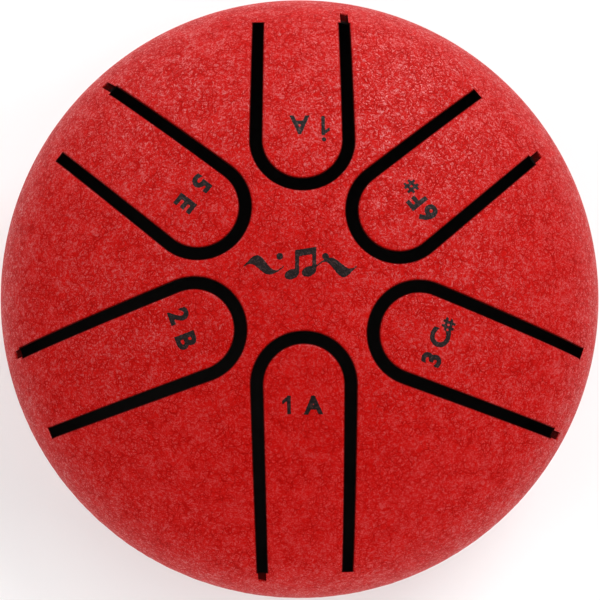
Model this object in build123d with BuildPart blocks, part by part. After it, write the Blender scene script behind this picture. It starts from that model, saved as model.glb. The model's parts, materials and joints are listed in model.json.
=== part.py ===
"""Mini steel tongue drum: two pressed steel shells, six tongues cut in the top one, three feet.

Millimetres. The origin is the middle of the footprint, on the surface the drum stands on, and +Z
points up through the top shell's pole. Bearings run counter-clockwise from +X, seen from above.
"""

import os
from math import asin, cos, radians, sin, sqrt, tan

from build123d import *

# Shells: a crown arc and a shoulder arc, tangent to each other, and upright at the seam.
sheet = 1.0
shell_radius = 40.0
shoulder_radius = 15.0
top_rise = 23.0
bottom_drop = 20.0
pole_clearance = 2.0
shoulder_circle = shell_radius - shoulder_radius
seam_z = pole_clearance + bottom_drop
above_everything = seam_z + top_rise + 1

# Seam weld: it fills a groove in both shells' outer edges and stands a little proud.
groove = 0.45
bead_crown = 0.15

# Sound hole in the bottom shell, with broken edges.
sound_hole_radius = 3.75
hole_edge = 0.3

# Tongues: each is outlined by a U-shaped slot, round at the tip, that narrows towards the root.
slot_width = 1.5
slot_line_radius = 5.8
window_radius = slot_line_radius + slot_width / 2
window_lean = 1.0
tongue_radius = slot_line_radius - slot_width / 2
tongue_lean = 0.55
root_kerf = 0.03
# Name: bearing in degrees, axis to tip centre, axis to root, and root to the tuning cut's end.
tongues = {
    "tongue_a_low": (270.8, 11.75, 35.8, 1.2),
    "tongue_b": (200.5, 14.3, 36.6, 0.9),
    "tongue_c_sharp": (339.6, 15.45, 36.9, 1.2),
    "tongue_e": (141.6, 16.4, 35.5, 1.7),
    "tongue_f_sharp": (39.3, 15.35, 34.0, 1.5),
    "tongue_a_high": (90.0, 18.8, 35.2, 1.6),
}

# Tuning cuts: one leg of each slot is lengthened with a small abrasive disc, held a little askew.
disc_radius = 8.0
disc_thickness = 1.05
disc_plunge = 3.0
disc_skew = 1.5

# Feet: silicone domes stuck square to the curved bottom, pressed flat where they meet the floor.
foot_bearings = (90, 210, 330)
foot_circle_radius = 20.0
foot_radius = 5.5
foot_skirt = 1.2
foot_height = 4.4
foot_edge = 0.25
adhesive_radius = 5.0
adhesive_thickness = 0.3


def crown_radius(rise):
    """Outside radius of the crown arc that meets the shoulder smoothly and peaks at this rise."""
    return (shoulder_circle**2 + rise**2 - shoulder_radius**2) / (2 * (rise - shoulder_radius))


def crown_point(rise, inset, angle):
    """A point of the crown arc, moved inwards by inset, at an angle in radians from the pole."""
    radius = crown_radius(rise)
    return ((radius - inset) * sin(angle), rise - radius + (radius - inset) * cos(angle))


def shoulder_point(inset, angle):
    """A point of the shoulder arc, moved inwards by inset, at an angle in radians from vertical."""
    radius = shoulder_radius - inset
    return (shoulder_circle + radius * sin(angle), radius * cos(angle))


def shell_section(rise, plane, hole=0.0):
    """Half a shell's section, out from a hole's radius, in a plane with its origin at the seam."""
    crown = crown_radius(rise)
    tangency = asin(shoulder_circle / (crown - shoulder_radius))
    outer_start = asin(hole / crown)
    inner_start = asin(hole / (crown - sheet))
    outer_edge = crown_point(rise, 0, outer_start)
    inner_edge = crown_point(rise, sheet, inner_start)
    rim = radians(90)
    groove_angle = rim - asin(groove / shoulder_radius)
    groove_top = shoulder_point(0, groove_angle)
    groove_root = (shell_radius - groove, 0)
    with BuildSketch(plane) as section:
        with BuildLine():
            ThreePointArc(
                outer_edge,
                crown_point(rise, 0, (outer_start + tangency) / 2),
                crown_point(rise, 0, tangency),
            )
            ThreePointArc(
                shoulder_point(0, tangency), shoulder_point(0, (tangency + groove_angle) / 2), groove_top
            )
            Polyline(groove_top, groove_root, shoulder_point(sheet, rim))
            ThreePointArc(
                shoulder_point(sheet, rim),
                shoulder_point(sheet, (tangency + rim) / 2),
                shoulder_point(sheet, tangency),
            )
            ThreePointArc(
                crown_point(rise, sheet, tangency),
                crown_point(rise, sheet, (inner_start + tangency) / 2),
                inner_edge,
            )
            Line(inner_edge, outer_edge)
        make_face()
        if hole:
            fillet(section.vertices().group_by(Axis.X)[0], hole_edge)
    return section.sketch


def u_outline(bearing, tip, root, radius, lean):
    """A U in plan: round about the tip centre, with legs that lean in to a square root."""
    along = Vector(1, 0).rotate(Axis.Z, bearing)
    shoulder_x = tip + radius * sin(radians(lean))
    shoulder_y = radius * cos(radians(lean))
    root_y = shoulder_y - (root - shoulder_x) * tan(radians(lean))
    with BuildSketch(Plane((0, 0, 0), x_dir=along)) as outline:
        with BuildLine():
            ThreePointArc((shoulder_x, -shoulder_y), (tip - radius, 0), (shoulder_x, shoulder_y))
            Polyline(
                (shoulder_x, shoulder_y), (root, root_y), (root, -root_y), (shoulder_x, -shoulder_y)
            )
        make_face()
    return outline.sketch


def tuning_disc(bearing, tip, root, tuning):
    """The abrasive disc's circle at the end of its cut, in the plane of the slot's clockwise leg."""
    middle_lean = radians((window_lean + tongue_lean) / 2)
    side = slot_line_radius - (root - tip) * tan(middle_lean)
    end_radius = sqrt((root + tuning) ** 2 + side**2)
    slope = asin((end_radius - shoulder_circle) / shoulder_radius)
    height = disc_radius - disc_plunge
    half_cut = sqrt(disc_radius**2 - height**2)
    centre_along = root + tuning - half_cut * cos(slope) + height * sin(slope)
    centre_up = shoulder_radius * cos(slope) + half_cut * sin(slope) + height * cos(slope)
    along = Vector(1, 0).rotate(Axis.Z, bearing)
    across = Vector(0, 1).rotate(Axis.Z, bearing)
    centre = along * centre_along - across * side + Vector(0, 0, seam_z + centre_up)
    with BuildSketch(Plane(centre, z_dir=across.rotate(Axis.Z, disc_skew))) as circle:
        Circle(disc_radius)
    return circle.sketch


os.makedirs("parts", exist_ok=True)
above_seam = Plane((0, 0, seam_z), x_dir=(1, 0, 0), z_dir=(0, -1, 0))
below_seam = Plane((0, 0, seam_z), x_dir=(1, 0, 0), z_dir=(0, 1, 0))

# Top shell, with a window for each tongue and the tuning cut that runs on from one leg of it.
with BuildPart() as top_shell:
    revolve(shell_section(top_rise, above_seam), axis=Axis.Z)
    for bearing, tip, root, tuning in tongues.values():
        window = u_outline(bearing, tip, root, window_radius, window_lean)
        extrude(window, amount=above_everything, mode=Mode.SUBTRACT)
        extrude(
            tuning_disc(bearing, tip, root, tuning),
            amount=disc_thickness / 2,
            both=True,
            mode=Mode.SUBTRACT,
        )
top_shell.part.label = "top_shell"
export_step(top_shell.part, "parts/top_shell.step")

# Tongues: the same sheet, inside each slot, up to a hairline at the root.
for name, (bearing, tip, root, tuning) in tongues.items():
    with BuildPart() as tongue:
        revolve(shell_section(top_rise, above_seam), axis=Axis.Z)
        blade = u_outline(bearing, tip, root - root_kerf, tongue_radius, tongue_lean)
        extrude(blade, amount=above_everything, mode=Mode.INTERSECT)
    tongue.part.label = name
    export_step(tongue.part, f"parts/{name}.step")

# Bottom shell, with the sound hole in its middle.
with BuildPart() as bottom_shell:
    revolve(shell_section(bottom_drop, below_seam, sound_hole_radius), axis=Axis.Z)
bottom_shell.part.label = "bottom_shell"
export_step(bottom_shell.part, "parts/bottom_shell.step")

# Seam weld: a ring in the groove between the shells.
with BuildPart() as seam_weld:
    with BuildSketch(above_seam):
        with BuildLine():
            groove_angle = radians(90) - asin(groove / shoulder_radius)
            upper_x, upper_z = shoulder_point(0, groove_angle)
            ThreePointArc((upper_x, upper_z), (shell_radius + bead_crown, 0), (upper_x, -upper_z))
            Polyline((upper_x, -upper_z), (shell_radius - groove, 0), (upper_x, upper_z))
        make_face()
    revolve(axis=Axis.Z)
seam_weld.part.label = "seam_weld"
export_step(seam_weld.part, "parts/seam_weld.step")

# Feet and the adhesive discs that hold them to the bottom's crown.
bottom_crown = crown_radius(bottom_drop)
crown_centre = Vector(0, 0, pole_clearance + bottom_crown)
foot_tilt = asin(foot_circle_radius / bottom_crown)
for number, bearing in enumerate(foot_bearings, start=1):
    outwards = Vector(sin(foot_tilt), 0, -cos(foot_tilt)).rotate(Axis.Z, bearing)
    across = Vector(0, 1, 0).rotate(Axis.Z, bearing)
    back = Plane(crown_centre + outwards * (bottom_crown + adhesive_thickness), across, outwards)
    foot_section = Plane(back.origin, x_dir=across, z_dir=across.cross(outwards))

    with BuildPart() as adhesive:
        with BuildSketch(back):
            Circle(adhesive_radius)
        extrude(amount=-2 * adhesive_thickness)
        with Locations(crown_centre):
            Sphere(bottom_crown, mode=Mode.SUBTRACT)
    adhesive.part.label = f"foot_adhesive_{number}"
    export_step(adhesive.part, f"parts/foot_adhesive_{number}.step")

    with BuildPart() as foot:
        with BuildSketch(foot_section):
            with BuildLine():
                dome_rise = foot_height - foot_skirt
                dome_radius = (foot_radius**2 + dome_rise**2) / (2 * dome_rise)
                Polyline((0, foot_height), (0, 0), (foot_radius, 0), (foot_radius, foot_skirt))
                RadiusArc((foot_radius, foot_skirt), (0, foot_height), -dome_radius)
            make_face()
        revolve(axis=Axis(back.origin, outwards))
        fillet(foot.edges().filter_by(GeomType.CIRCLE), foot_edge)
        split(bisect_by=Plane.XY, keep=Keep.TOP)
    foot.part.label = f"foot_{number}"
    export_step(foot.part, f"parts/foot_{number}.step")
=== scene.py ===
import json
import math

import bmesh
import bpy
from mathutils import Matrix, Vector, noise


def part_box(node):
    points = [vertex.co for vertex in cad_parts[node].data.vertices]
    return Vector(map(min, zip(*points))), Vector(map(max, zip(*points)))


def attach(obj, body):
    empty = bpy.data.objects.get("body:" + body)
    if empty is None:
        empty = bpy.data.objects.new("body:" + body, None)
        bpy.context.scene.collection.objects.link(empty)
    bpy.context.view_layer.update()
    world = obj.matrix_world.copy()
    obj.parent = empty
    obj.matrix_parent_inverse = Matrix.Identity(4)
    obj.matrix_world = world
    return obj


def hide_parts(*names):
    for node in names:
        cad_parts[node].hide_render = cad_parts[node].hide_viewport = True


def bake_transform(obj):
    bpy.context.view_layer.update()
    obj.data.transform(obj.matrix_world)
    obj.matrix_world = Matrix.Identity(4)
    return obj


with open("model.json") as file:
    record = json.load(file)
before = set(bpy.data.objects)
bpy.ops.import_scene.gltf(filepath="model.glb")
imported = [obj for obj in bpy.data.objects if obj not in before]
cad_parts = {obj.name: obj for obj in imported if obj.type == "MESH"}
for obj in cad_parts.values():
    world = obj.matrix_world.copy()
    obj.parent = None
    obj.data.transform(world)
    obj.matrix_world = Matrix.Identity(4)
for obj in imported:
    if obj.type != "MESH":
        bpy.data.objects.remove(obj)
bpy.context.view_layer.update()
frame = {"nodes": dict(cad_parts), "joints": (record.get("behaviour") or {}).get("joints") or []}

# Mini steel tongue drum. The script works in metres; the driving sizes are in millimetres.
MM = 0.001
SHEET = 1.0 * MM
SHELL_RADIUS = 40.0 * MM
SHOULDER_RADIUS = 15.0 * MM
SHOULDER_CIRCLE = SHELL_RADIUS - SHOULDER_RADIUS
BOTTOM_DROP = 20.0 * MM
SLOT_WIDTH = 1.5 * MM
SLOT_LINE_RADIUS = 5.8 * MM
SLOT_LEAN = math.radians(0.775)
SLOT_NARROWING = math.radians(0.225)
EDGE_ROUND = 0.36 * MM
SLOT_OVERRUN = 0.02 * MM

# Hand tuning cuts: how far each runs on past its tongue's root.
TUNING_CUT = {
    "tongue_a_low": 1.2 * MM,
    "tongue_b": 0.9 * MM,
    "tongue_c_sharp": 1.2 * MM,
    "tongue_e": 1.7 * MM,
    "tongue_f_sharp": 1.5 * MM,
    "tongue_a_high": 1.6 * MM,
}
DISC_RADIUS = 8.0 * MM
DISC_THICKNESS = 1.05 * MM
DISC_PLUNGE = 3.0 * MM
DISC_SKEW = math.radians(1.5)

# Seam weld, sound hole and feet.
GROOVE = 0.45 * MM
BEAD_CROWN = 0.15 * MM
SOUND_HOLE_RADIUS = 3.75 * MM
HOLE_EDGE = 0.3 * MM
FOOT_BEARINGS = (90, 210, 330)
FOOT_CIRCLE_RADIUS = 20.0 * MM
FOOT_RADIUS = 5.5 * MM
FOOT_SKIRT = 1.2 * MM
FOOT_HEIGHT = 4.4 * MM
FOOT_EDGE = 0.25 * MM
ADHESIVE_RADIUS = 5.0 * MM
ADHESIVE_THICKNESS = 0.3 * MM

SEAM_Z = (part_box("top_shell")[0].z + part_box("bottom_shell")[1].z) / 2
POLE_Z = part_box("top_shell")[1].z


# ---------------------------------------------------------------- the dome's shape


class Dome:
    """A shell's outside: a crown sphere and a shoulder ring that meet smoothly."""

    def __init__(self, rise, side):
        self.rise = rise
        self.side = side
        above_shoulder = rise - SHOULDER_RADIUS
        self.crown = (SHOULDER_CIRCLE**2 + rise**2 - SHOULDER_RADIUS**2) / (2 * above_shoulder)
        self.tangency = math.asin(SHOULDER_CIRCLE / (self.crown - SHOULDER_RADIUS))

    def slope(self, radius):
        """Angle of the outward normal from the axis, at a distance from the axis."""
        if radius < self.crown * math.sin(self.tangency):
            return math.asin(radius / self.crown)
        return math.asin(min(1.0, (radius - SHOULDER_CIRCLE) / SHOULDER_RADIUS))

    def height(self, radius):
        """Distance of the outside from the seam's plane, at a distance from the axis."""
        slope = self.slope(radius)
        if slope < self.tangency:
            return self.rise - self.crown + self.crown * math.cos(slope)
        return SHOULDER_RADIUS * math.cos(slope)

    def place(self, x, y, depth=0.0):
        """The point under (x, y) on the outside, moved into the sheet by depth along the normal."""
        radius = math.hypot(x, y)
        slope = self.slope(radius)
        share = (radius - depth * math.sin(slope)) / max(radius, 1e-9)
        z = self.height(radius) - depth * math.cos(slope)
        return Vector((x * share, y * share, SEAM_Z + self.side * z))

    def under(self, x, y, depth):
        """The point straight under (x, y), as deep in the sheet as place() would put it."""
        point = self.place(x, y)
        point.z -= self.side * depth / math.cos(self.slope(math.hypot(x, y)))
        return point

    def depth(self, point):
        """How deep in the sheet a point lies, below the outside."""
        radius = math.hypot(point.x, point.y)
        z = self.side * (point.z - SEAM_Z)
        above_centre = z - (self.rise - self.crown)
        if math.atan2(radius, above_centre) < self.tangency:
            return self.crown - math.hypot(radius, above_centre)
        return SHOULDER_RADIUS - math.hypot(radius - SHOULDER_CIRCLE, z)

    def normal(self, point):
        """The outward normal over a point."""
        radius = math.hypot(point.x, point.y)
        slope = self.slope(radius)
        share = math.sin(slope) / max(radius, 1e-9)
        return Vector((point.x * share, point.y * share, self.side * math.cos(slope)))


TOP = Dome(POLE_Z - SEAM_Z, 1)
BOTTOM = Dome(BOTTOM_DROP, -1)


class Tongue:
    """Where a tongue lies, read from the frame: its bearing, its rounded tip and its root."""

    def __init__(self, joint):
        self.name = joint["child"]
        x, y, _ = joint["pos_m"]
        self.root = math.hypot(x, y)
        self.along = Vector((x, y, 0)) / self.root
        self.across = Vector((-self.along.y, self.along.x, 0))
        vertices = frame["nodes"][self.name].data.vertices
        tip_end = min(v.co.dot(self.along) for v in vertices)
        self.tip = tip_end + SLOT_LINE_RADIUS - SLOT_WIDTH / 2
        self.tuning = TUNING_CUT[self.name]

    def plan(self, along, across):
        """Plan position of a point given along and across the tongue, from the drum's axis."""
        point = self.along * along + self.across * across
        return point.x, point.y


TONGUES = [Tongue(joint) for joint in frame["joints"]]


# ---------------------------------------------------------------- modelling helpers


def deselect_all():
    if bpy.context.object and bpy.context.object.mode == "EDIT":
        bpy.ops.object.mode_set(mode="OBJECT")
    bpy.ops.object.select_all(action="DESELECT")


def make_active(piece):
    deselect_all()
    piece.select_set(True)
    bpy.context.view_layer.objects.active = piece


def new_piece(name):
    """Names the primitive just added and moves its place into its mesh."""
    piece = bpy.context.object
    piece.name = name
    piece.data.name = name
    bpy.ops.object.transform_apply(location=True, rotation=True, scale=True)
    return piece


def edit(piece):
    make_active(piece)
    bpy.ops.object.mode_set(mode="EDIT")
    bpy.ops.mesh.select_mode(type="VERT")
    bpy.ops.mesh.select_all(action="SELECT")


def done_editing():
    bpy.ops.object.mode_set(mode="OBJECT")


def recalculate_normals(piece):
    edit(piece)
    bpy.ops.mesh.normals_make_consistent(inside=False)
    done_editing()


def smooth(piece, degrees=40):
    make_active(piece)
    bpy.ops.object.shade_smooth_by_angle(angle=math.radians(degrees))


def apply_modifier(piece, kind, **settings):
    make_active(piece)
    modifier = piece.modifiers.new(kind.lower(), kind)
    for key, value in settings.items():
        setattr(modifier, key, value)
    bpy.ops.object.modifier_apply(modifier=modifier.name)


def cut_away(piece, cutter):
    apply_modifier(piece, "BOOLEAN", operation="DIFFERENCE", object=cutter, solver="EXACT")
    bpy.data.objects.remove(cutter)


def join(pieces, name):
    make_active(pieces[0])
    for piece in pieces[1:]:
        piece.select_set(True)
    bpy.ops.object.join()
    pieces[0].name = name
    return pieces[0]


def middle(piece):
    return (Vector(piece.bound_box[0]) + Vector(piece.bound_box[6])) / 2


def lone_vertex(name, place):
    """A piece of one vertex, left in edit mode to be spun into a profile."""
    deselect_all()
    bpy.ops.mesh.primitive_plane_add(size=MM, location=place)
    piece = new_piece(name)
    edit(piece)
    bpy.ops.mesh.merge(type="CENTER")
    return piece


def spin_selected(steps, angle, centre, axis):
    bpy.ops.mesh.spin(steps=steps, angle=angle, center=centre, axis=axis)


def turn_profile(steps):
    """Turns the profile in edit mode once round the drum's axis and closes it."""
    bpy.ops.mesh.select_all(action="SELECT")
    spin_selected(steps, 2 * math.pi, (0, 0, 0), (0, 0, 1))
    bpy.ops.mesh.select_all(action="SELECT")
    bpy.ops.mesh.remove_doubles(threshold=MM / 1000)
    bpy.ops.mesh.normals_make_consistent(inside=False)


def extrude_to(piece, place):
    """Extrudes the selected vertex to a place, in edit mode."""
    mesh = bmesh.from_edit_mesh(piece.data)
    at = next(vertex.co for vertex in mesh.verts if vertex.select)
    bpy.ops.mesh.extrude_region_move(TRANSFORM_OT_translate={"value": Vector(place) - at})


def select_edges(piece, wanted):
    """Selects the edges, in edit mode, whose two ends are both wanted."""
    bpy.ops.mesh.select_all(action="DESELECT")
    bpy.ops.mesh.select_mode(type="EDGE")
    mesh = bmesh.from_edit_mesh(piece.data)
    for edge in mesh.edges:
        edge.select = all(wanted(vertex.co) for vertex in edge.verts)
    bmesh.update_edit_mesh(piece.data)


def turned_dome(name, dome, hole_radius=0.0):
    """A shell: its section is spun from one vertex, arc by arc, and turned round the axis."""
    outer_start = math.asin(hole_radius / dome.crown)
    inner_start = math.asin(hole_radius / (dome.crown - SHEET))
    groove_angle = math.pi / 2 - math.asin(GROOVE / SHOULDER_RADIUS)
    crown_centre = (0, 0, SEAM_Z + dome.side * (dome.rise - dome.crown))
    shoulder_centre = (SHOULDER_CIRCLE, 0, SEAM_Z)
    piece = lone_vertex(name, dome.place(hole_radius, 0))
    spin_selected(60, dome.side * (dome.tangency - outer_start), crown_centre, (0, -1, 0))
    spin_selected(36, dome.side * (groove_angle - dome.tangency), shoulder_centre, (0, -1, 0))
    extrude_to(piece, (SHELL_RADIUS - GROOVE, 0, SEAM_Z))
    extrude_to(piece, (SHELL_RADIUS - SHEET, 0, SEAM_Z))
    spin_selected(32, dome.side * (dome.tangency - math.pi / 2), shoulder_centre, (0, -1, 0))
    spin_selected(60, dome.side * (inner_start - dome.tangency), crown_centre, (0, -1, 0))
    if hole_radius:
        extrude_to(piece, dome.place(hole_radius, 0))
    turn_profile(360)
    if hole_radius:
        rim = hole_radius + MM / 100
        select_edges(piece, lambda at: math.hypot(at.x, at.y) < rim)
        bpy.ops.mesh.bevel(offset=HOLE_EDGE, segments=4, affect="EDGES")
    done_editing()
    return piece


def follow_dome(piece, dome):
    """Notes how deep each point lies, and gives the outside faces the dome's own normals."""
    smooth(piece)
    mesh = piece.data
    depths = [dome.depth(vertex.co) for vertex in mesh.vertices]
    mesh.attributes.new("sheet_depth", "FLOAT", "POINT").data.foreach_set("value", depths)
    normals = [Vector()] * len(mesh.loops)
    for face in mesh.polygons:
        if all(abs(depths[i]) < MM / 200 for i in face.vertices):
            for corner in face.loop_indices:
                normals[corner] = dome.normal(mesh.vertices[mesh.loops[corner].vertex_index].co)
    mesh.normals_split_custom_set(normals)


# ---------------------------------------------------------------- slots and tuning cuts


def slot_path(tongue, overrun=0.0):
    """The slot's centre line: from the clockwise root, round the tip, to the other root."""
    leg = tongue.root - tongue.tip + overrun
    steps = 54
    arc_steps = 60
    points = []
    for side in (-1, 1):
        leg_points = []
        for i in range(steps + 1):
            run = leg * i / steps
            spread = SLOT_LINE_RADIUS * math.cos(SLOT_LEAN) - run * math.tan(SLOT_LEAN)
            half = SLOT_WIDTH / 2 - run * math.tan(SLOT_NARROWING)
            leg_points.append((tongue.tip + run, side * spread, 0.0, side, half))
        if side < 0:
            points += reversed(leg_points)
            for i in range(1, arc_steps):
                turn = math.pi * (0.5 + i / arc_steps)
                points.append(
                    (
                        tongue.tip + SLOT_LINE_RADIUS * math.cos(turn),
                        -SLOT_LINE_RADIUS * math.sin(turn),
                        math.cos(turn),
                        -math.sin(turn),
                        SLOT_WIDTH / 2,
                    )
                )
        else:
            points += leg_points
    return points


def slot_wall():
    """One wall of a slot as (flare, depth) pairs, from below the sheet to above the coat."""
    steps = 5
    steepest = math.radians(75)
    wall = [(0.0, 2 * SHEET), (0.0, SHEET / 2)]
    for i in range(steps + 1):
        turn = steepest * i / steps
        wall.append((EDGE_ROUND * (1 - math.cos(turn)), EDGE_ROUND * (1 - math.sin(turn))))
    flare, depth = wall[-1]
    run_out = 0.3 * MM
    wall.append((flare + run_out * math.sin(steepest), depth - run_out * math.cos(steepest)))
    wall.append((flare + run_out * math.sin(steepest), -SHEET))
    return wall


def slot_cutter(tongue):
    """An upright U-shaped cutter, with lips that leave the slot's edges rounded."""
    path = slot_path(tongue, SLOT_OVERRUN)
    wall = slot_wall()
    section = [(-1, flare, depth) for flare, depth in wall]
    section += [(1, flare, depth) for flare, depth in reversed(wall)]
    deselect_all()
    bpy.ops.mesh.primitive_grid_add(
        x_subdivisions=len(section) - 1, y_subdivisions=len(path) - 1, size=2
    )
    cutter = new_piece("slot_cutter")
    for vertex in cutter.data.vertices:
        station = round((vertex.co.x + 1) / 2 * (len(section) - 1))
        step = round((vertex.co.y + 1) / 2 * (len(path) - 1))
        side, flare, depth = section[station]
        along, across, normal_along, normal_across, half = path[step]
        offset = side * (half + flare)
        x, y = tongue.plan(along + offset * normal_along, across + offset * normal_across)
        vertex.co = TOP.under(x, y, depth)
    edit(cutter)
    select_long_edges(cutter, len(section), len(path))
    bpy.ops.mesh.bridge_edge_loops()
    bpy.ops.mesh.select_all(action="SELECT")
    bpy.ops.mesh.fill_holes(sides=0)
    done_editing()
    recalculate_normals(cutter)
    return cutter


def select_long_edges(piece, columns, rows):
    """Selects the first and the last column of a grid's edges, in edit mode."""
    bpy.ops.mesh.select_all(action="DESELECT")
    bpy.ops.mesh.select_mode(type="EDGE")
    mesh = bmesh.from_edit_mesh(piece.data)
    mesh.verts.ensure_lookup_table()
    for column in (0, columns - 1):
        line = {mesh.verts[row * columns + column] for row in range(rows)}
        for edge in mesh.edges:
            if edge.verts[0] in line and edge.verts[1] in line:
                edge.select = True
    bmesh.update_edit_mesh(piece.data)


def tuning_cutter(tongue):
    """The abrasive disc at the end of its cut, in line with the slot's clockwise leg."""
    side = SLOT_LINE_RADIUS - (tongue.root - tongue.tip) * math.tan(SLOT_LEAN)
    end = tongue.root + tongue.tuning
    slope = TOP.slope(math.hypot(end, side))
    height = DISC_RADIUS - DISC_PLUNGE
    half_cut = math.sqrt(DISC_RADIUS**2 - height**2)
    centre_along = end - half_cut * math.cos(slope) + height * math.sin(slope)
    centre_up = half_cut * math.sin(slope) + (SHOULDER_RADIUS + height) * math.cos(slope)
    x, y = tongue.plan(centre_along, -side)
    axis = tongue.across.copy()
    axis.rotate(Matrix.Rotation(DISC_SKEW, 3, "Z"))
    deselect_all()
    bpy.ops.mesh.primitive_cylinder_add(
        vertices=192,
        radius=DISC_RADIUS,
        depth=DISC_THICKNESS,
        location=(x, y, SEAM_Z + centre_up),
        rotation=axis.to_track_quat("Z", "Y").to_euler(),
    )
    return new_piece("tuning_cutter")


def tongue_prism(tongue):
    """The space above and below a tongue, out to the middle of its slot and cut off at its root."""
    outline = [tongue.plan(along, across) for along, across, *_ in slot_path(tongue)]
    half = abs(slot_path(tongue)[0][1])
    root_steps = 14
    for i in range(1, root_steps):
        outline.append(tongue.plan(tongue.root, half - 2 * half * i / root_steps))
    deselect_all()
    bpy.ops.mesh.primitive_grid_add(x_subdivisions=len(outline) - 1, y_subdivisions=1, size=2)
    prism = new_piece("tongue_prism")
    for vertex in prism.data.vertices:
        x, y = outline[round((vertex.co.x + 1) / 2 * (len(outline) - 1))]
        vertex.co = (x, y, POLE_Z + SHEET if vertex.co.y < 0 else SEAM_Z - SHEET)
    edit(prism)
    select_long_edges(prism, len(outline), 2)
    bpy.ops.mesh.bridge_edge_loops()
    bpy.ops.mesh.select_all(action="SELECT")
    bpy.ops.mesh.fill_holes(sides=0)
    done_editing()
    recalculate_normals(prism)
    return prism


def part_at_the_roots(sheet):
    """Parts the sheet into the shell and its six tongues, which come back as one more piece."""
    prisms = join([tongue_prism(tongue) for tongue in TONGUES], "tongue_prisms")
    make_active(sheet)
    bpy.ops.object.duplicate()
    blades = bpy.context.object
    apply_modifier(blades, "BOOLEAN", operation="INTERSECT", object=prisms, solver="EXACT")
    cut_away(sheet, prisms)
    return blades


# ---------------------------------------------------------------- bottom, weld and feet


def weld_bead():
    """The weld that fills the groove at the seam: a ring with a low, slightly uneven crown."""
    half = GROOVE
    edge_x = SHOULDER_CIRCLE + math.sqrt(SHOULDER_RADIUS**2 - half**2)
    rise = SHELL_RADIUS + BEAD_CROWN - edge_x
    radius = (half**2 + rise**2) / (2 * rise)
    centre = (edge_x + rise - radius, 0, SEAM_Z)
    bead = lone_vertex("weld_bead", (SHELL_RADIUS - GROOVE, 0, SEAM_Z))
    extrude_to(bead, (edge_x, 0, SEAM_Z + half))
    spin_selected(10, 2 * math.asin(half / radius), centre, (0, -1, 0))
    extrude_to(bead, (SHELL_RADIUS - GROOVE, 0, SEAM_Z))
    turn_profile(720)
    done_editing()
    for vertex in bead.data.vertices:
        out = math.hypot(vertex.co.x, vertex.co.y)
        proud = max(0.0, out - edge_x) / rise
        uneven = 0.5 + 0.5 * noise.noise(vertex.co / (0.9 * MM))
        vertex.co -= Vector((vertex.co.x, vertex.co.y, 0)) / out * proud * uneven * 0.07 * MM
    smooth(bead)
    return bead


def foot_place(bearing):
    """A foot's frame: its origin on the foot's back, and +Z out from the bottom, square to it."""
    tilt = math.asin(FOOT_CIRCLE_RADIUS / BOTTOM.crown)
    turn = math.radians(bearing)
    outwards = Vector(
        (math.sin(tilt) * math.cos(turn), math.sin(tilt) * math.sin(turn), -math.cos(tilt))
    )
    crown_centre = Vector((0, 0, SEAM_Z - BOTTOM.rise + BOTTOM.crown))
    origin = crown_centre + outwards * (BOTTOM.crown + ADHESIVE_THICKNESS)
    return Matrix.Translation(origin) @ outwards.to_track_quat("Z", "Y").to_matrix().to_4x4()


def move_into_place(piece, place):
    piece.matrix_world = place
    make_active(piece)
    bpy.ops.object.transform_apply(location=True, rotation=True, scale=True)


def silicone_foot(number, bearing):
    """A domed foot with a short skirt and a fine mould line, pressed flat on the floor."""
    dome_rise = FOOT_HEIGHT - FOOT_SKIRT
    dome_radius = (FOOT_RADIUS**2 + dome_rise**2) / (2 * dome_rise)
    line = 0.62 * MM
    foot = lone_vertex(f"silicone_foot_{number}", (0, 0, FOOT_HEIGHT))
    spin_selected(
        28, math.asin(FOOT_RADIUS / dome_radius), (0, 0, FOOT_HEIGHT - dome_radius), (0, -1, 0)
    )
    extrude_to(foot, (FOOT_RADIUS, 0, line + 0.04 * MM))
    extrude_to(foot, (FOOT_RADIUS + 0.05 * MM, 0, line))
    extrude_to(foot, (FOOT_RADIUS, 0, line - 0.04 * MM))
    extrude_to(foot, (FOOT_RADIUS, 0, 0))
    extrude_to(foot, (0, 0, 0))
    turn_profile(128)
    for level in (FOOT_SKIRT, 0.0):
        select_edges(
            foot,
            lambda at: abs(at.z - level) < MM / 100 and math.hypot(at.x, at.y) > 0.9 * FOOT_RADIUS,
        )
        bpy.ops.mesh.bevel(offset=FOOT_EDGE, segments=3, affect="EDGES")
    done_editing()
    move_into_place(foot, foot_place(bearing))
    edit(foot)
    bpy.ops.mesh.bisect(
        plane_co=(0, 0, 0),
        plane_no=(0, 0, -1),
        clear_outer=True,
        use_fill=True,
        threshold=MM / 1000,
    )
    done_editing()
    smooth(foot)
    return foot


def adhesive_pad(number, bearing):
    """The round pad between a foot's flat back and the curved bottom."""
    t = ADHESIVE_THICKNESS
    pad = lone_vertex(f"adhesive_pad_{number}", (0, 0, -t))
    spin_selected(
        16, math.asin(ADHESIVE_RADIUS / BOTTOM.crown), (0, 0, -t - BOTTOM.crown), (0, -1, 0)
    )
    extrude_to(pad, (ADHESIVE_RADIUS, 0, 0))
    extrude_to(pad, (0, 0, 0))
    turn_profile(96)
    done_editing()
    move_into_place(pad, foot_place(bearing))
    smooth(pad)
    return pad


# ---------------------------------------------------------------- print
# Ink is modelled flat with one unit to the millimetre, then laid on the dome.

INK_BODY = 0.3
INK_GRAIN = 0.055
ONE_STROKE = 0.46
SHARP_STROKE = 0.34
STEM_STROKE = 0.5
INK_PROUD = 0.014 * MM
INK_SUNK = 0.02 * MM


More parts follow.
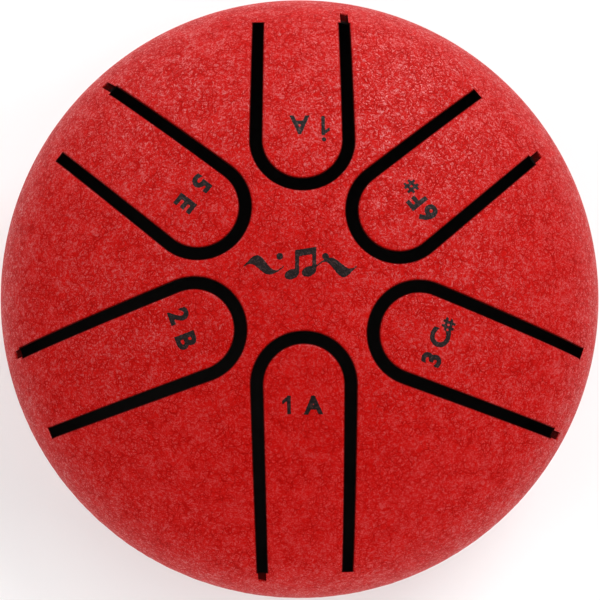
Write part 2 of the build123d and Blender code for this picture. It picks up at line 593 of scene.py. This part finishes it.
def glyph(character, offset, distance, height, weight=0.045):
    """A block character, centred at its place in a label: reading direction, then from the pole."""
    deselect_all()
    bpy.ops.object.text_add()
    text = bpy.context.object
    text.data.body = character
    text.data.offset = weight
    text.data.extrude = 0.1
    text.data.resolution_u = 8
    bpy.ops.object.convert(target="MESH")
    text = bpy.context.object
    xs = [vertex.co.x for vertex in text.data.vertices]
    ys = [vertex.co.y for vertex in text.data.vertices]
    size = height / (max(ys) - min(ys))
    for vertex in text.data.vertices:
        vertex.co = (
            (vertex.co.x - (max(xs) + min(xs)) / 2) * size + offset,
            (vertex.co.y - (max(ys) + min(ys)) / 2) * size - distance,
            math.copysign(INK_BODY / 2, vertex.co.z),
        )
    return text


def numeral_one(offset, distance, height):
    """A numeral 1: an upright stroke with a flag."""
    stem = bar((offset + 0.3, -distance), (ONE_STROKE, height))
    flag = bar((offset - 0.1, height / 2 - 0.55 - distance), (0.85, 0.5), shear=0.7)
    return join([stem, flag], "numeral_one")


def sharp_sign(offset, distance, height):
    """Two upright strokes crossed by two rising ones."""
    strokes = []
    for aside in (-0.19 * height, 0.19 * height):
        strokes.append(bar((offset + aside, -distance), (SHARP_STROKE, height)))
        strokes.append(bar((offset, aside - distance), (height, SHARP_STROKE), shear=0.15))
    return join(strokes, "sharp_sign")


def dot(offset, distance, radius):
    deselect_all()
    bpy.ops.mesh.primitive_cylinder_add(
        vertices=24, radius=radius, depth=INK_BODY, location=(offset, -distance, 0)
    )
    return new_piece("dot")


def bar(centre, size, shear=0.0):
    deselect_all()
    bpy.ops.mesh.primitive_cube_add(size=1, scale=(*size, INK_BODY))
    made = new_piece("bar")
    for vertex in made.data.vertices:
        x, y, z = vertex.co
        vertex.co = (x + centre[0], y + x * shear + centre[1], z)
    return made


def note_head(centre, radius):
    deselect_all()
    bpy.ops.mesh.primitive_cylinder_add(
        vertices=40,
        radius=radius,
        depth=INK_BODY,
        location=(*centre, 0),
        rotation=(0, 0, math.radians(22)),
        scale=(1.25, 0.85, 1),
    )
    return new_piece("note_head")


def swash(start, span, swing, half_width):
    """A tapering wave of ink, from start along X."""
    steps = 48
    deselect_all()
    bpy.ops.mesh.primitive_grid_add(x_subdivisions=steps, y_subdivisions=1, size=2)
    made = new_piece("swash")
    edit(made)
    bpy.ops.mesh.extrude_region_move(TRANSFORM_OT_translate={"value": (0, 0, 1)})
    done_editing()
    for vertex in made.data.vertices:
        t = (vertex.co.x + 1) / 2
        half = half_width * (0.12 + math.sin(math.pi * min(1.0, t * 1.15)) ** 2) / 1.12
        x = start[0] + span * t
        y = start[1] + swing * math.sin(2 * math.pi * t) + vertex.co.y * half
        vertex.co = (x, y, (vertex.co.z - 0.5) * INK_BODY)
    recalculate_normals(made)
    return made


def lay_ink(name, parts, plan):
    """Melts the parts into one print with slightly ragged edges, and lays it on the dome."""
    ink = join(parts, name)
    ink.data.name = name
    apply_modifier(ink, "REMESH", mode="VOXEL", voxel_size=INK_GRAIN)
    for vertex in ink.data.vertices:
        x, y, z = vertex.co
        at = Vector((x, y, 0)) * 4.2
        x += 0.05 * noise.noise(at)
        y += 0.05 * noise.noise(at + Vector((31, 17, 5)))
        share = min(1.0, max(0.0, z / INK_BODY + 0.5))
        vertex.co = TOP.place(*plan(x * MM, y * MM), INK_SUNK - (INK_SUNK + INK_PROUD) * share)
    smooth(ink, 60)
    return ink


# Each mark of a label: the character, its offset in the reading direction, its distance from the
# pole, its height, and its extra weight where that isn't the usual one.
LABELS = {
    "tongue_a_low": (("1", -2.16, 14.2, 2.3), ("A", 1.15, 14.25, 2.35)),
    "tongue_b": (("2", -2.26, 15.4, 2.6), ("B", 0.95, 15.6, 2.6)),
    "tongue_c_sharp": (("3", -2.5, 18.0, 2.6), ("C", 0.35, 18.0, 2.6), ("#", 2.25, 18.5, 1.65)),
    "tongue_e": (("5", -2.57, 18.0, 2.6), ("E", 0.66, 18.0, 2.6)),
    "tongue_f_sharp": (("6", -2.55, 18.1, 2.7), ("F", -0.45, 18.0, 2.5), ("#", 1.4, 18.65, 1.7)),
    "tongue_a_high": (("1", -2.91, 20.55, 2.55), ("A", 0.34, 20.65, 2.5, 0.03)),
}


def label(tongue):
    drawn = {"1": numeral_one, "#": sharp_sign}
    parts = [
        drawn[mark[0]](*mark[1:]) if mark[0] in drawn else glyph(*mark)
        for mark in LABELS[tongue.name]
    ]
    if tongue.name == "tongue_a_high":
        octave_dot = dot(-2.69, 18.75, 0.28)
        parts.append(octave_dot)
    return lay_ink(
        tongue.name.replace("tongue", "label"), parts, lambda x, y: tongue.plan(-y, x)
    )


def ornament():
    """A pair of beamed notes between two swashes, printed over the pole."""
    parts = [
        note_head((-1.05, -1.25), 0.72),
        note_head((1.05, -0.9), 0.72),
        bar((-0.38, 0.2), (STEM_STROKE, 2.9)),
        bar((1.72, 0.55), (STEM_STROKE, 2.9)),
        bar((0.67, 1.5), (2.6, 0.85), shear=0.17),
        swash((-6.9, -0.25), 4.9, 0.70, 0.85),
        swash((6.9, -0.25), -4.9, -0.70, 0.85),
        dot(-2.5, -0.95, 0.42),
        dot(3.1, -0.95, 0.42),
    ]
    centre = Vector((-0.3, 3.0)) * MM
    return lay_ink("ornament", parts, lambda x, y: (centre.x + x, centre.y + y))


# ---------------------------------------------------------------- looks


def add_node(tree, kind, inputs=(), **settings):
    """Adds a shader node. An input given as a socket is linked, and any other is a constant."""
    made = tree.nodes.new(kind)
    for key, value in settings.items():
        setattr(made, key, value)
    for key, value in dict(inputs).items():
        if isinstance(value, bpy.types.NodeSocket):
            tree.links.new(value, made.inputs[key])
        else:
            made.inputs[key].default_value = value
    return made


def maths(tree, operation, a, b=0.0, c=0.0):
    return add_node(tree, "ShaderNodeMath", {0: a, 1: b, 2: c}, operation=operation).outputs[0]


def grain(tree, point, per_mm, detail=2.0, roughness=0.5, distortion=0.0):
    made = add_node(
        tree,
        "ShaderNodeTexNoise",
        {
            "Vector": point,
            "Scale": per_mm / MM,
            "Detail": detail,
            "Roughness": roughness,
            "Distortion": distortion,
        },
    )
    return made.outputs["Fac"]


def ramp(tree, value, low, high, low_to=0.0, high_to=1.0):
    made = add_node(
        tree,
        "ShaderNodeMapRange",
        {"Value": value, "From Min": low, "From Max": high, "To Min": low_to, "To Max": high_to},
        interpolation_type="SMOOTHSTEP",
    )
    return made.outputs["Result"]


def mix(tree, factor, a, b):
    made = add_node(
        tree, "ShaderNodeMix", {"Factor": factor, "A": a, "B": b}, data_type="RGBA"
    )
    return made.outputs["Result"]


def new_group(name, inputs, outputs):
    tree = bpy.data.node_groups.new(name, "ShaderNodeTree")
    for label_text, kind in inputs:
        tree.interface.new_socket(label_text, in_out="INPUT", socket_type=kind)
    for label_text, kind in outputs:
        tree.interface.new_socket(label_text, in_out="OUTPUT", socket_type=kind)
    return tree, tree.nodes.new("NodeGroupInput").outputs, tree.nodes.new("NodeGroupOutput").inputs


def leather_grain_group():
    """A coat that dries in fine creased cells: its height, ridges, creases and mottling."""
    tree, given, result = new_group(
        "leather_grain",
        [("Point", "NodeSocketVector")],
        [(name, "NodeSocketFloat") for name in ("Height", "Ridges", "Creases", "Mottle")],
    )
    point = given["Point"]
    swirl = add_node(
        tree, "ShaderNodeTexNoise", {"Vector": point, "Scale": 0.8 / MM, "Detail": 2.0}
    ).outputs["Color"]
    shift = add_node(
        tree, "ShaderNodeVectorMath", {0: swirl, 1: (0.5, 0.5, 0.5)}, operation="SUBTRACT"
    ).outputs[0]
    warped = add_node(
        tree,
        "ShaderNodeVectorMath",
        {0: shift, 1: (0.9 * MM,) * 3, 2: point},
        operation="MULTIPLY_ADD",
    ).outputs[0]
    creases = []
    pillows = []
    for per_mm, width in ((1.05, 0.085), (2.4, 0.15)):
        edge = add_node(
            tree,
            "ShaderNodeTexVoronoi",
            {"Vector": warped, "Scale": per_mm / MM},
            feature="DISTANCE_TO_EDGE",
        ).outputs["Distance"]
        creases.append(ramp(tree, edge, width, 0.0))
        pillows.append(ramp(tree, edge, 0.0, 0.45))
    patchy = ramp(tree, grain(tree, point, 0.45, detail=2.0), 0.36, 0.60, 0.15, 1.0)
    crease = maths(tree, "MULTIPLY_ADD", creases[1], 0.45, maths(tree, "MULTIPLY", creases[0], 0.8))
    crease = maths(tree, "MULTIPLY", crease, patchy)
    wrinkle = grain(tree, warped, 2.2, detail=4.0, roughness=0.7, distortion=0.4)
    strands = []
    for per_mm in (1.6, 3.3):
        value = grain(tree, warped, per_mm, detail=2.0, roughness=0.6, distortion=0.8)
        away = maths(tree, "ABSOLUTE", maths(tree, "MULTIPLY_ADD", value, 2.0, -1.0))
        strands.append(ramp(tree, away, 0.13, 0.0))
    strand = maths(tree, "MULTIPLY_ADD", strands[1], 0.7, maths(tree, "MULTIPLY", strands[0], 0.8))
    height = maths(tree, "MULTIPLY", wrinkle, 0.050 * MM)
    height = maths(tree, "MULTIPLY_ADD", pillows[0], 0.030 * MM, height)
    height = maths(tree, "MULTIPLY_ADD", pillows[1], 0.012 * MM, height)
    height = maths(tree, "MULTIPLY_ADD", strand, 0.008 * MM, height)
    height = maths(tree, "MULTIPLY_ADD", crease, -0.022 * MM, height)
    ridges = maths(tree, "MULTIPLY", strand, ramp(tree, wrinkle, 0.38, 0.60, 0.2, 1.0))
    ridges = maths(tree, "MULTIPLY", ridges, ramp(tree, crease, 0.6, 0.0, 0.1, 1.0))
    mottle = grain(tree, point, 0.42, detail=2.0)
    tree.links.new(height, result["Height"])
    tree.links.new(ridges, result["Ridges"])
    tree.links.new(crease, result["Creases"])
    tree.links.new(ramp(tree, mottle, 0.3, 0.7), result["Mottle"])
    return tree


LEATHER_GRAIN = leather_grain_group()


def new_material(name):
    material = bpy.data.materials.new(name)
    material.use_nodes = True
    tree = material.node_tree
    point = add_node(tree, "ShaderNodeTexCoord").outputs["Object"]
    return material, tree, tree.nodes["Principled BSDF"], point


def use_leather(tree, point):
    made = add_node(tree, "ShaderNodeGroup", node_tree=LEATHER_GRAIN)
    tree.links.new(point, made.inputs["Point"])
    return made.outputs


def bump(tree, height, strength, shader):
    made = add_node(
        tree, "ShaderNodeBump", {"Strength": strength, "Distance": 1.0, "Height": height}
    )
    tree.links.new(made.outputs["Normal"], shader.inputs["Normal"])


def red_coat():
    """Satin red coat. Down the slots' walls it is painted darker as shade, then gives way to bare
    steel where the spray hardly reached.
    """
    material, tree, shader, point = new_material("creased_red_coat")
    leather = use_leather(tree, point)
    red = mix(tree, leather["Mottle"], (0.40, 0.0020, 0.0013, 1), (0.43, 0.0036, 0.0026, 1))
    # Painted highlight: the ridges get a lighter pink base colour that stands in for the coat's
    # specular glints.
    red = mix(tree, maths(tree, "MULTIPLY", leather["Ridges"], 0.35), red, (0.46, 0.020, 0.016, 1))
    # Painted shade: the fine creases get a darker red base colour for the shadow that falls in
    # them.
    red = mix(tree, maths(tree, "MULTIPLY", leather["Creases"], 0.8), red, (0.27, 0.001, 0.0007, 1))
    depth = add_node(tree, "ShaderNodeAttribute", attribute_name="sheet_depth").outputs["Fac"]
    ragged = maths(tree, "MULTIPLY_ADD", grain(tree, point, 3.0), 0.15 * MM, depth)
    # Painted shade: the coat's colour turns dark red with depth down the slots' walls, where shade
    # falls.
    wall_shade = ramp(tree, ragged, 0.06 * MM, 0.32 * MM)
    bare = ramp(tree, ragged, 0.75 * MM, 1.00 * MM)
    red = mix(tree, wall_shade, red, (0.055, 0.0015, 0.0012, 1))
    red = mix(tree, bare, red, (0.010, 0.008, 0.007, 1))
    tree.links.new(red, shader.inputs["Base Color"])
    shine = ramp(tree, leather["Ridges"], 0.0, 1.0, 0.04, 0.80)
    shine = maths(tree, "MULTIPLY", shine, ramp(tree, wall_shade, 0.0, 1.0, 1.0, 0.12))
    tree.links.new(shine, shader.inputs["Specular IOR Level"])
    tree.links.new(ramp(tree, leather["Ridges"], 0.0, 1.0, 0.52, 0.35), shader.inputs["Roughness"])
    bump(tree, leather["Height"], 0.7, shader)
    return material


def bare_steel():
    """The shells' insides: dark, lightly scaled steel."""
    material, tree, shader, point = new_material("dark_steel")
    value = grain(tree, point, 0.5, detail=4.0)
    colour = mix(tree, value, (0.010, 0.009, 0.008, 1), (0.022, 0.018, 0.016, 1))
    tree.links.new(colour, shader.inputs["Base Color"])
    shader.inputs["Roughness"].default_value = 0.7
    shader.inputs["Specular IOR Level"].default_value = 0.25
    bump(tree, maths(tree, "MULTIPLY", value, 0.02 * MM), 0.5, shader)
    return material


def print_ink():
    """Black ink on the coat's grain, a little worn on the highest ridges."""
    material, tree, shader, point = new_material("print_ink")
    leather = use_leather(tree, point)
    blotch = grain(tree, point, 1.6, detail=3.0)
    black = mix(tree, blotch, (0.003, 0.0022, 0.0022, 1), (0.014, 0.009, 0.009, 1))
    worn = maths(tree, "MULTIPLY", leather["Ridges"], ramp(tree, blotch, 0.35, 0.75, 0.1, 0.4))
    tree.links.new(mix(tree, worn, black, (0.09, 0.012, 0.010, 1)), shader.inputs["Base Color"])
    shine = ramp(tree, leather["Ridges"], 0.0, 1.0, 0.10, 0.40)
    tree.links.new(shine, shader.inputs["Specular IOR Level"])
    shader.inputs["Roughness"].default_value = 0.5
    bump(tree, leather["Height"], 0.8, shader)
    return material


def silicone():
    material, tree, shader, point = new_material("moulded_silicone")
    dust = ramp(tree, grain(tree, point, 0.35, detail=5.0, roughness=0.65), 0.45, 0.8)
    colour = mix(tree, dust, (0.012, 0.012, 0.013, 1), (0.040, 0.038, 0.036, 1))
    tree.links.new(colour, shader.inputs["Base Color"])
    tree.links.new(ramp(tree, dust, 0.0, 1.0, 0.42, 0.62), shader.inputs["Roughness"])
    bump(tree, maths(tree, "MULTIPLY", grain(tree, point, 4.0), 0.004 * MM), 0.6, shader)
    return material


def adhesive():
    material, tree, shader, point = new_material("adhesive_film")
    value = grain(tree, point, 2.0, detail=3.0)
    colour = mix(tree, value, (0.10, 0.10, 0.095, 1), (0.20, 0.195, 0.18, 1))
    tree.links.new(colour, shader.inputs["Base Color"])
    shader.inputs["Roughness"].default_value = 0.6
    bump(tree, maths(tree, "MULTIPLY", value, 0.01 * MM), 0.5, shader)
    return material


def paint_shell(piece, dome, coat, inside):
    """Coats a shell or a tongue, and leaves the faces on its inside bare."""
    follow_dome(piece, dome)
    piece.data.materials.append(coat)
    piece.data.materials.append(inside)
    depths = piece.data.attributes["sheet_depth"].data
    for face in piece.data.polygons:
        if all(depths[i].value > 0.95 * SHEET for i in face.vertices):
            face.material_index = 1


# ---------------------------------------------------------------- the drum

coat = red_coat()
inside = bare_steel()
ink = print_ink()
rubber = silicone()
glue = adhesive()

top_shell = turned_dome("coated_top_shell", TOP)
cut_away(top_shell, join([slot_cutter(tongue) for tongue in TONGUES], "slots"))
cut_away(top_shell, join([tuning_cutter(tongue) for tongue in TONGUES], "tuning_cuts"))
blades = part_at_the_roots(top_shell)
paint_shell(top_shell, TOP, coat, inside)
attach(top_shell, "drum")
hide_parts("top_shell")

edit(blades)
bpy.ops.mesh.separate(type="LOOSE")
done_editing()
blades = [piece for piece in bpy.context.selected_objects if piece.type == "MESH"]
for tongue in TONGUES:
    blade = max(blades, key=lambda piece: middle(piece).dot(tongue.along))
    blade.name = tongue.name.replace("tongue", "coated_tongue")
    blade.data.name = blade.name
    paint_shell(blade, TOP, coat, inside)
    mark = label(tongue)
    mark.data.materials.append(ink)
    root = TOP.place(*tongue.plan(tongue.root, 0))
    tip = TOP.place(*tongue.plan(tongue.tip - SLOT_LINE_RADIUS, 0))
    for piece in (blade, mark):
        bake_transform(piece)
    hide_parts(tongue.name)

sign = ornament()
sign.data.materials.append(ink)
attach(sign, "drum")

bottom_shell = turned_dome("coated_bottom_shell", BOTTOM, SOUND_HOLE_RADIUS)
paint_shell(bottom_shell, BOTTOM, coat, inside)
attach(bottom_shell, "drum")
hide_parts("bottom_shell")

bead = weld_bead()
bead.data.materials.append(coat)
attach(bead, "drum")
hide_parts("seam_weld")

for number, bearing in enumerate(FOOT_BEARINGS, start=1):
    foot = silicone_foot(number, bearing)
    foot.data.materials.append(rubber)
    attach(foot, "drum")
    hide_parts(f"foot_{number}")
    pad = adhesive_pad(number, bearing)
    pad.data.materials.append(glue)
    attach(pad, "drum")
    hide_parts(f"foot_adhesive_{number}")


# ---------------------------------------------------------------- floor, lights and camera


def floor_plane():
    deselect_all()
    bpy.ops.mesh.primitive_plane_add(size=6)
    made = new_piece("floor")
    material, tree, shader, point = new_material("pale_floor")
    value = grain(tree, point, 0.02, detail=2.0)
    colour = mix(tree, value, (0.93, 0.93, 0.93, 1), (0.95, 0.95, 0.95, 1))
    tree.links.new(colour, shader.inputs["Base Color"])
    shader.inputs["Roughness"].default_value = 0.6
    made.data.materials.append(material)


LIGHT_DISTANCE = 0.8
LIGHT_AIM = Vector((0, 0, 30 * MM))


def softbox(name, bearing, elevation, size, power, glare=True):
    """A square soft light that faces the drum, from a bearing and an elevation in degrees.

    Without glare it fills in, as a cross-polarised fill light does, and leaves no highlight.
    """
    turn = math.radians(bearing)
    lift = math.radians(elevation)
    place = LIGHT_AIM + LIGHT_DISTANCE * Vector(
        (math.cos(turn) * math.cos(lift), math.sin(turn) * math.cos(lift), math.sin(lift))
    )
    bpy.ops.object.light_add(type="AREA", location=place)
    light = bpy.context.object
    light.name = name
    light.data.size = size
    light.data.energy = power
    light.visible_glossy = glare
    light.rotation_euler = (LIGHT_AIM - place).to_track_quat("-Z", "Y").to_euler()


floor_plane()
softbox("key_light", 60, 22, 0.50, 4.4)
softbox("high_key_light", 55, 50, 0.30, 1.2)
softbox("back_light", 120, 20, 0.50, 2.9)
softbox("front_left_light", 240, 24, 0.50, 2.2, glare=False)
softbox("front_right_light", 300, 20, 0.50, 2.9, glare=False)
softbox("right_light", 0, 40, 0.50, 2.0)
softbox("left_light", 180, 48, 0.50, 1.8)

world = bpy.data.worlds.new("studio")
bpy.context.scene.world = world
world.use_nodes = True
world.node_tree.nodes["Background"].inputs["Color"].default_value = (1.0, 1.0, 1.0, 1)
world.node_tree.nodes["Background"].inputs["Strength"].default_value = 0.20


def looking(eye, aim):
    """The camera's right, up and forward directions, with the low A tongue at the bottom."""
    forward = (aim - eye).normalized()
    right = forward.cross(Vector((0, 1, 0))).normalized()
    return right, right.cross(forward), forward


EYE_DISTANCE = 230 * MM
EYE_DIRECTION = Vector((-0.0158, -0.0534, 0.9984))
AIM_LEFT = 0.33 * MM
AIM_DOWN = 1.41 * MM

pole = Vector((0, 0, POLE_Z))
eye = pole + EYE_DISTANCE * EYE_DIRECTION
right, up, forward = looking(eye, pole)
right, up, forward = looking(eye, pole - right * AIM_LEFT - up * AIM_DOWN)
bpy.ops.object.camera_add(location=eye)
camera = bpy.context.object
camera.rotation_euler = Matrix((right, up, -forward)).transposed().to_euler()
camera.data.lens = 112.9
camera.data.sensor_width = 36.0
camera.data.clip_start = 0.01
camera.data.clip_end = 20.0
bpy.context.scene.camera = camera
bpy.context.scene.view_settings.view_transform = "Standard"
